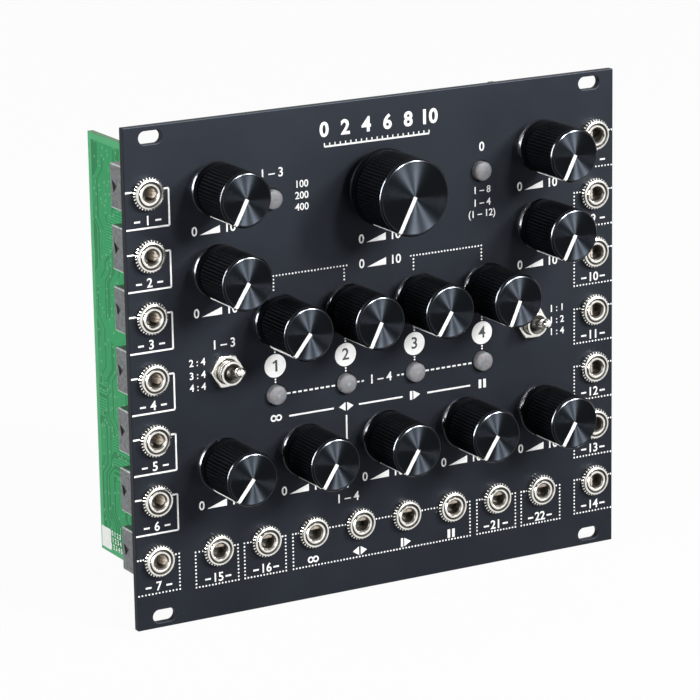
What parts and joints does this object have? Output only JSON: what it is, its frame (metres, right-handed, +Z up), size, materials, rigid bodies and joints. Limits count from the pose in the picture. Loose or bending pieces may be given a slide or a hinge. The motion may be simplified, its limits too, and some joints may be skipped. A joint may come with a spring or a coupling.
{
  "type": "eurorack delay module",
  "caption": "Rack panel of an audio delay with fluted dials, patch sockets, push buttons and toggle switches, in front of a stack of circuit boards.",
  "frame": {"origin": "on the panel's rear face, midway between the four rack slots", "axes": "+X to the right as seen from the front, +Y from the front to the back, +Z up"},
  "size_m": [0.142, 0.0613, 0.1284],
  "materials": {
    "panel": "black anodised, satin",
    "board": "green solder mask, satin",
    "housing": "moulded, satin",
    "nickel": "nickel plated, bright",
    "contact": "plated, bright",
    "pot_case": "moulded, satin",
    "steel": "zinc plated",
    "toggle_case": "moulded, satin",
    "black_plastic": "moulded, satin",
    "standoff": "turned",
    "chip": "moulded, matt",
    "can": "drawn, satin",
    "knob": "black anodised, turned top",
    "shaft": "turned",
    "button": "translucent, satin"
  },
  "bodies": {
    "module": {"front_panel": "panel", "left_jack_board": "board", "right_jack_board": "board", "bottom_jack_board": "board", "control_board": "board", "main_board": "board", "jack_housings": "housing", "jack_bushings": "nickel", "jack_nuts": "nickel", "jack_contacts": "contact", "pot_bodies": "pot_case", "pot_bushings": "nickel", "pot_washers": "steel", "hex_nuts": "nickel", "toggle_bodies": "toggle_case", "toggle_bushings": "nickel", "button_switches": "black_plastic", "power_header": "black_plastic", "power_pins": "contact", "board_connectors": "black_plastic", "board_standoffs": "standoff", "standoff_screws": "steel", "circuit_chips": "chip", "capacitors": "can"},
    "dry_dial": {"dry_knob": "knob", "dry_shaft": "shaft"},
    "wet_dial": {"wet_knob": "knob", "wet_shaft": "shaft"},
    "record_dial": {"record_knob": "knob", "record_shaft": "shaft"},
    "repeats_dial": {"repeats_knob": "knob", "repeats_shaft": "shaft"},
    "speed_dial": {"speed_knob": "knob", "speed_shaft": "shaft"},
    "playback_1_dial": {"playback_knob_1": "knob", "playback_shaft_1": "shaft"},
    "playback_2_dial": {"playback_knob_2": "knob", "playback_shaft_2": "shaft"},
    "playback_3_dial": {"playback_knob_3": "knob", "playback_shaft_3": "shaft"},
    "playback_4_dial": {"playback_knob_4": "knob", "playback_shaft_4": "shaft"},
    "low_cut_dial": {"low_cut_knob": "knob", "low_cut_shaft": "shaft"},
    "age_dial": {"age_knob": "knob", "age_shaft": "shaft"},
    "texture_dial": {"texture_knob": "knob", "texture_shaft": "shaft"},
    "flutter_dial": {"flutter_knob": "knob", "flutter_shaft": "shaft"},
    "reverb_dial": {"reverb_knob": "knob", "reverb_shaft": "shaft"},
    "playback_button_1": {"playback_button_1": "button"},
    "playback_button_2": {"playback_button_2": "button"},
    "playback_button_3": {"playback_button_3": "button"},
    "playback_button_4": {"playback_button_4": "button"},
    "mode_button": {"mode_button": "button"},
    "tap_button": {"tap_button": "button"},
    "left_toggle": {"left_toggle_lever": "nickel"},
    "right_toggle": {"right_toggle_lever": "nickel"}
  },
  "joints": [
    {"name": "dry_turn", "type": "hinge", "parent": "module", "child": "dry_dial", "pos_m": [-0.0472, 0, 0.04705], "axis": [0, 1, 0], "range_deg": [0, 300]},
    {"name": "wet_turn", "type": "hinge", "parent": "module", "child": "wet_dial", "pos_m": [0.0472, 0, 0.04705], "axis": [0, 1, 0], "range_deg": [0, 300]},
    {"name": "record_turn", "type": "hinge", "parent": "module", "child": "record_dial", "pos_m": [-0.0472, 0, 0.0262], "axis": [0, 1, 0], "range_deg": [0, 300]},
    {"name": "repeats_turn", "type": "hinge", "parent": "module", "child": "repeats_dial", "pos_m": [0.0472, 0, 0.0262], "axis": [0, 1, 0], "range_deg": [0, 300]},
    {"name": "speed_turn", "type": "hinge", "parent": "module", "child": "speed_dial", "pos_m": [0, 0, 0.04185], "axis": [0, 1, 0], "range_deg": [0, 300]},
    {"name": "playback_1_turn", "type": "hinge", "parent": "module", "child": "playback_1_dial", "pos_m": [-0.03048, 0, 0.01115], "axis": [0, 1, 0], "range_deg": [0, 300]},
    {"name": "playback_2_turn", "type": "hinge", "parent": "module", "child": "playback_2_dial", "pos_m": [-0.01016, 0, 0.01115], "axis": [0, 1, 0], "range_deg": [0, 300]},
    {"name": "playback_3_turn", "type": "hinge", "parent": "module", "child": "playback_3_dial", "pos_m": [0.01016, 0, 0.01115], "axis": [0, 1, 0], "range_deg": [0, 300]},
    {"name": "playback_4_turn", "type": "hinge", "parent": "module", "child": "playback_4_dial", "pos_m": [0.03048, 0, 0.01115], "axis": [0, 1, 0], "range_deg": [0, 300]},
    {"name": "low_cut_turn", "type": "hinge", "parent": "module", "child": "low_cut_dial", "pos_m": [-0.0472, 0, -0.02355], "axis": [0, 1, 0], "range_deg": [0, 300]},
    {"name": "age_turn", "type": "hinge", "parent": "module", "child": "age_dial", "pos_m": [-0.0236, 0, -0.02355], "axis": [0, 1, 0], "range_deg": [0, 300]},
    {"name": "texture_turn", "type": "hinge", "parent": "module", "child": "texture_dial", "pos_m": [0, 0, -0.02355], "axis": [0, 1, 0], "range_deg": [0, 300]},
    {"name": "flutter_turn", "type": "hinge", "parent": "module", "child": "flutter_dial", "pos_m": [0.0236, 0, -0.02355], "axis": [0, 1, 0], "range_deg": [0, 300]},
    {"name": "reverb_turn", "type": "hinge", "parent": "module", "child": "reverb_dial", "pos_m": [0.0472, 0, -0.02355], "axis": [0, 1, 0], "range_deg": [0, 300]},
    {"name": "playback_press_1", "type": "slide", "parent": "module", "child": "playback_button_1", "axis": [0, 1, 0], "range_m": [0, 0.0006], "stiffness_N_per_m": 600, "springref_m": -0.0025},
    {"name": "playback_press_2", "type": "slide", "parent": "module", "child": "playback_button_2", "axis": [0, 1, 0], "range_m": [0, 0.0006], "stiffness_N_per_m": 600, "springref_m": -0.0025},
    {"name": "playback_press_3", "type": "slide", "parent": "module", "child": "playback_button_3", "axis": [0, 1, 0], "range_m": [0, 0.0006], "stiffness_N_per_m": 600, "springref_m": -0.0025},
    {"name": "playback_press_4", "type": "slide", "parent": "module", "child": "playback_button_4", "axis": [0, 1, 0], "range_m": [0, 0.0006], "stiffness_N_per_m": 600, "springref_m": -0.0025},
    {"name": "mode_press", "type": "slide", "parent": "module", "child": "mode_button", "axis": [0, 1, 0], "range_m": [0, 0.0006], "stiffness_N_per_m": 600, "springref_m": -0.0025},
    {"name": "tap_press", "type": "slide", "parent": "module", "child": "tap_button", "axis": [0, 1, 0], "range_m": [0, 0.0006], "stiffness_N_per_m": 600, "springref_m": -0.0025},
    {"name": "left_toggle_tilt", "type": "hinge", "parent": "module", "child": "left_toggle", "pos_m": [-0.04485, -0.005, 0], "axis": [1, 0, 0], "range_deg": [0, 26]},
    {"name": "right_toggle_tilt", "type": "hinge", "parent": "module", "child": "right_toggle", "pos_m": [0.04485, -0.005, 0], "axis": [1, 0, 0], "range_deg": [0, 26]}
  ]
}
